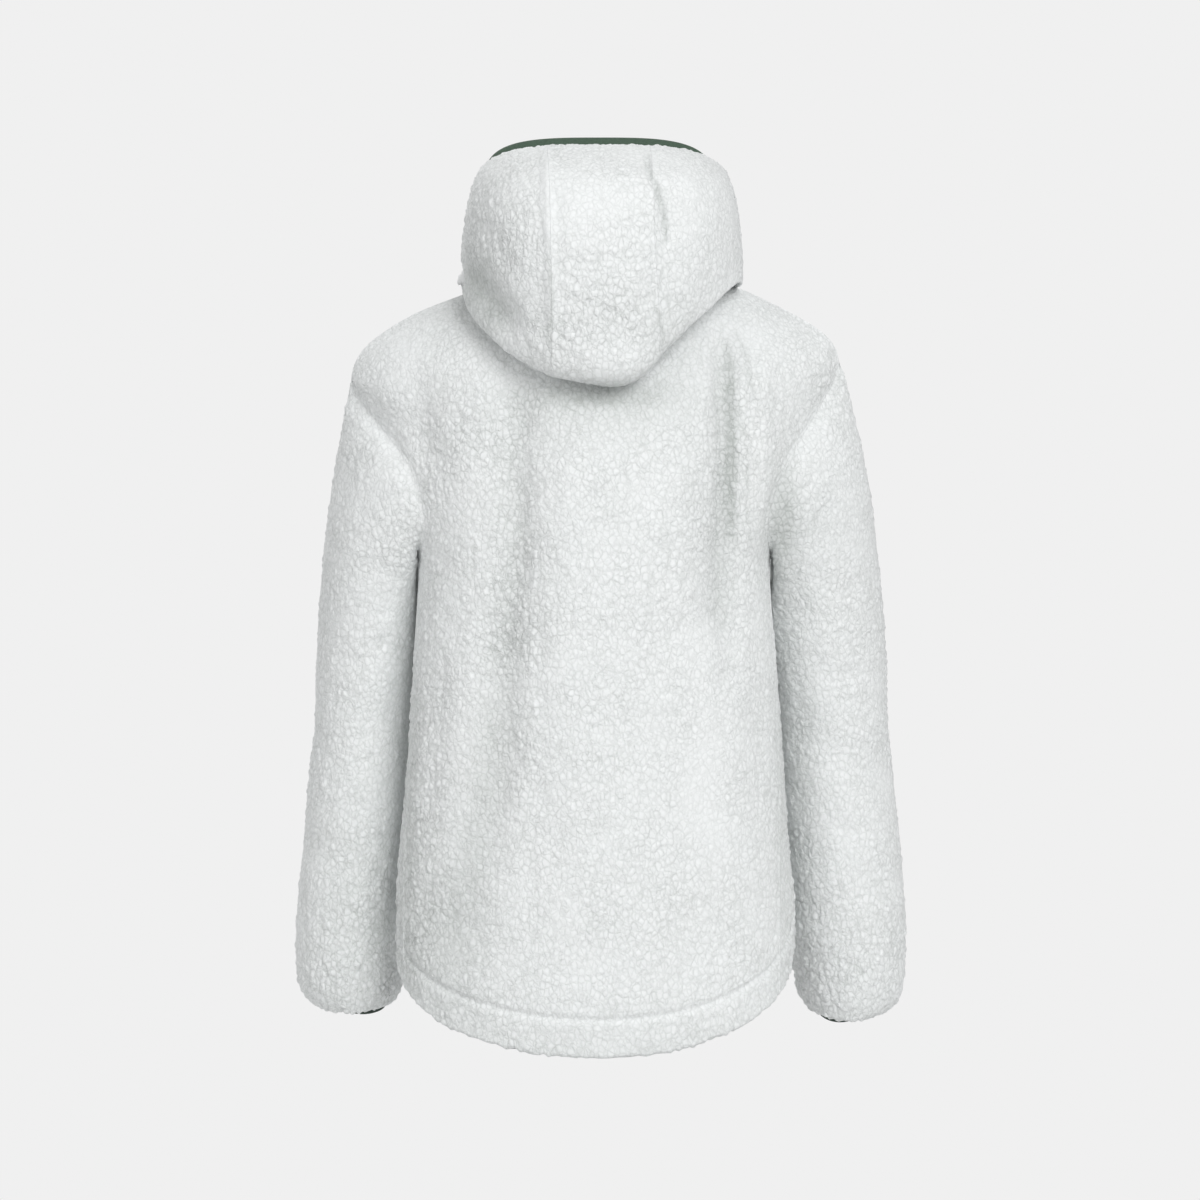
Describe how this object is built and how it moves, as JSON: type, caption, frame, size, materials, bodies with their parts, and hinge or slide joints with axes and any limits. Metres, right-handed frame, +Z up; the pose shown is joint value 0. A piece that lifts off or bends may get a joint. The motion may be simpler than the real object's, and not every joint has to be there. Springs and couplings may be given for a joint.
{
  "type": "fleece jacket",
  "caption": "Hooded pile fleece jacket with a full-length front zip, drop shoulders, three-panel hood, bound face edge and bound cuffs, in its worn, hollow form.",
  "frame": {"origin": "on the centre line between the shoulders, at the height where the wearer's shoulders carry the jacket", "axes": "+Z up, the zipped front faces -Y, the wearer's left is +X"},
  "size_m": [0.601, 0.2819, 0.8889],
  "materials": {
    "fleece": "deep curly pile",
    "binding": "matte woven",
    "cuff_elastic": "matte stretch binding",
    "tape": "woven zip tape",
    "zip_metal": "dark satin"
  },
  "bodies": {
    "garment": {"back": "fleece", "front_left": "fleece", "front_right": "fleece", "sleeve_left": "fleece", "sleeve_right": "fleece", "hood_centre": "fleece", "hood_left": "fleece", "hood_right": "fleece", "hood_edge_binding": "binding", "cuff_binding_left": "cuff_elastic", "cuff_binding_right": "cuff_elastic", "zip_tape_left": "tape", "zip_tape_right": "tape", "zip_chain": "zip_metal", "zip_slider": "zip_metal"},
    "pull": {"zip_pull": "zip_metal"}
  },
  "joints": [
    {"name": "zip_pull_hinge", "type": "hinge", "parent": "garment", "child": "pull", "pos_m": [0, -0.10758, -0.01498], "axis": [-1, 0, 0], "range_deg": [0, 150]}
  ]
}
